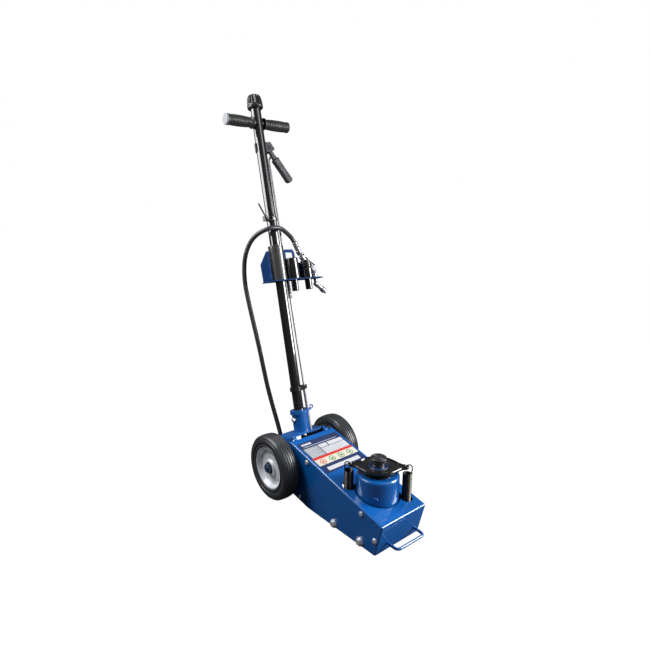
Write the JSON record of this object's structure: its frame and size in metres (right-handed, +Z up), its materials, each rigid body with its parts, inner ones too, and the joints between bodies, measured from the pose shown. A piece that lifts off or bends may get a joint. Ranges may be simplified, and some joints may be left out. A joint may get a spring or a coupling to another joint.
{
  "type": "car jack",
  "caption": "Wheeled air-over-hydraulic truck jack: bottle jack in a low steel housing, tilting T-handle with release knob, adapters and an air hose.",
  "frame": {"origin": "on the floor, under the middle of the lifting ram", "axes": "+X to the nose, +Y to the jack's left, +Z up"},
  "size_m": [0.7218, 0.3387, 1.2058],
  "materials": {
    "blue_paint": "glossy blue enamel",
    "black_paint": "glossy black enamel",
    "black_plastic": "moulded black plastic",
    "black_rubber": "smooth black rubber",
    "tyre_rubber": "solid black rubber with a slight sheen",
    "dark_steel": "oiled machined steel",
    "zinc_plate": "bright zinc plating",
    "chrome_plate": "polished nickel and chrome plating",
    "cast_aluminium": "machined aluminium",
    "sintered_brass": "sintered brass"
  },
  "bodies": {
    "chassis": {"side_plate_left": "blue_paint", "side_plate_right": "blue_paint", "top_cover": "blue_paint", "tow_handle": "blue_paint", "base_casting": "blue_paint", "reservoir_tank": "blue_paint", "oil_plug": "blue_paint", "pressure_cylinder": "dark_steel", "tank_nut": "black_paint", "return_spring_rear": "black_paint", "return_spring_front": "black_paint", "air_motor_cylinder": "cast_aluminium", "muffler": "sintered_brass", "stub_axle_left": "blue_paint", "stub_axle_right": "blue_paint", "axle_nut_left": "blue_paint", "axle_nut_right": "blue_paint", "nose_tie_rod": "zinc_plate", "rear_top_tie_rod": "zinc_plate", "rear_low_tie_rod": "zinc_plate", "base_bolt_rear": "zinc_plate", "base_bolt_front": "zinc_plate", "button_bolt_left": "zinc_plate", "button_bolt_right": "zinc_plate", "lock_sector": "zinc_plate", "air_hose": "black_rubber"},
    "wheel_left": {"tyre_left": "tyre_rubber", "rim_left": "zinc_plate", "bearing_left": "dark_steel"},
    "wheel_right": {"tyre_right": "tyre_rubber", "rim_right": "zinc_plate", "bearing_right": "dark_steel"},
    "ram": {"ram": "dark_steel", "return_plate": "black_paint"},
    "saddle": {"saddle": "black_paint"},
    "air_piston": {"air_piston": "dark_steel"},
    "valve_shaft": {"valve_shaft": "zinc_plate"},
    "handle": {"handle_yoke": "blue_paint", "handle_socket": "blue_paint", "socket_bolt": "zinc_plate", "handle_tube": "black_paint", "t_bar": "chrome_plate", "grip_left": "black_rubber", "grip_right": "black_rubber", "lever_bracket": "black_paint", "rod_guide": "black_plastic", "rod_spring": "dark_steel", "storage_bracket": "blue_paint", "bracket_sleeve": "black_paint", "air_valve": "chrome_plate", "inlet_coupler": "chrome_plate", "hose_hook": "dark_steel", "hose_ferrule": "chrome_plate"},
    "release": {"release_rod": "dark_steel", "release_knob": "black_plastic"},
    "lock_lever": {"lock_lever": "black_paint"},
    "lock_rod": {"lock_rod": "zinc_plate"},
    "valve_lever": {"valve_lever": "chrome_plate"},
    "adapter_tall": {"adapter_tall": "black_paint"},
    "adapter_short": {"adapter_short": "black_paint"}
  },
  "joints": [
    {"name": "wheel_left_spin", "type": "hinge", "parent": "chassis", "child": "wheel_left", "pos_m": [-0.316, 0.121, 0.1], "axis": [0, 1, 0], "continuous": true},
    {"name": "wheel_right_spin", "type": "hinge", "parent": "chassis", "child": "wheel_right", "pos_m": [-0.316, -0.121, 0.1], "axis": [0, 1, 0], "continuous": true},
    {"name": "ram_slide", "type": "slide", "parent": "chassis", "child": "ram", "axis": [0, 0, 1], "range_m": [0, 0.125], "stiffness_N_per_m": 600, "springref_m": -0.04, "deforming": ["return_spring_rear", "return_spring_front"]},
    {"name": "saddle_lift", "type": "slide", "parent": "ram", "child": "saddle", "axis": [0, 0, 1], "range_m": [0, 0.03]},
    {"name": "air_piston_stroke", "type": "slide", "parent": "chassis", "child": "air_piston", "axis": [1, 0, 0], "range_m": [0, 0.02], "stiffness_N_per_m": 400, "springref_m": -0.01},
    {"name": "handle_tilt", "type": "hinge", "parent": "chassis", "child": "handle", "pos_m": [-0.316, 0, 0.1], "axis": [0, -1, 0], "range_deg": [0, 70], "deforming": ["air_hose"]},
    {"name": "release_turn", "type": "hinge", "parent": "handle", "child": "release", "pos_m": [-0.316, 0, 0.1], "axis": [-0.2343, 0, 0.9722], "range_deg": [0, 360]},
    {"name": "valve_shaft_turn", "type": "hinge", "parent": "chassis", "child": "valve_shaft", "pos_m": [-0.316, 0, 0.1], "axis": [-0.9387, 0, 0.3448], "range_deg": [0, 360]},
    {"name": "lock_lever_squeeze", "type": "hinge", "parent": "handle", "child": "lock_lever", "pos_m": [-0.54373, 0.026, 1.04495], "axis": [0.9722, 0, 0.2343], "range_deg": [0, 25], "stiffness_Nm_per_rad": 1.5, "springref_deg": -11.46},
    {"name": "lock_rod_slide", "type": "slide", "parent": "handle", "child": "lock_rod", "axis": [-0.2343, -0.0134, 0.9721], "range_m": [0, 0.0085]},
    {"name": "valve_lever_press", "type": "hinge", "parent": "handle", "child": "valve_lever", "pos_m": [-0.47686, 0.11547, 0.71626], "axis": [-0.9722, 0, -0.2343], "range_deg": [0, 8], "stiffness_Nm_per_rad": 0.5, "springref_deg": -5.73},
    {"name": "adapter_tall_lift", "type": "slide", "parent": "handle", "child": "adapter_tall", "axis": [-0.2343, 0, 0.9722], "range_m": [0, 0.045]},
    {"name": "adapter_short_lift", "type": "slide", "parent": "handle", "child": "adapter_short", "axis": [-0.2343, 0, 0.9722], "range_m": [0, 0.04]}
  ],
  "couplings": [
    {"joint": "valve_shaft_turn", "follows": "release_turn", "ratio": 1},
    {"joint": "lock_rod_slide", "follows": "lock_lever_squeeze", "m_per_rad": 0.018}
  ]
}
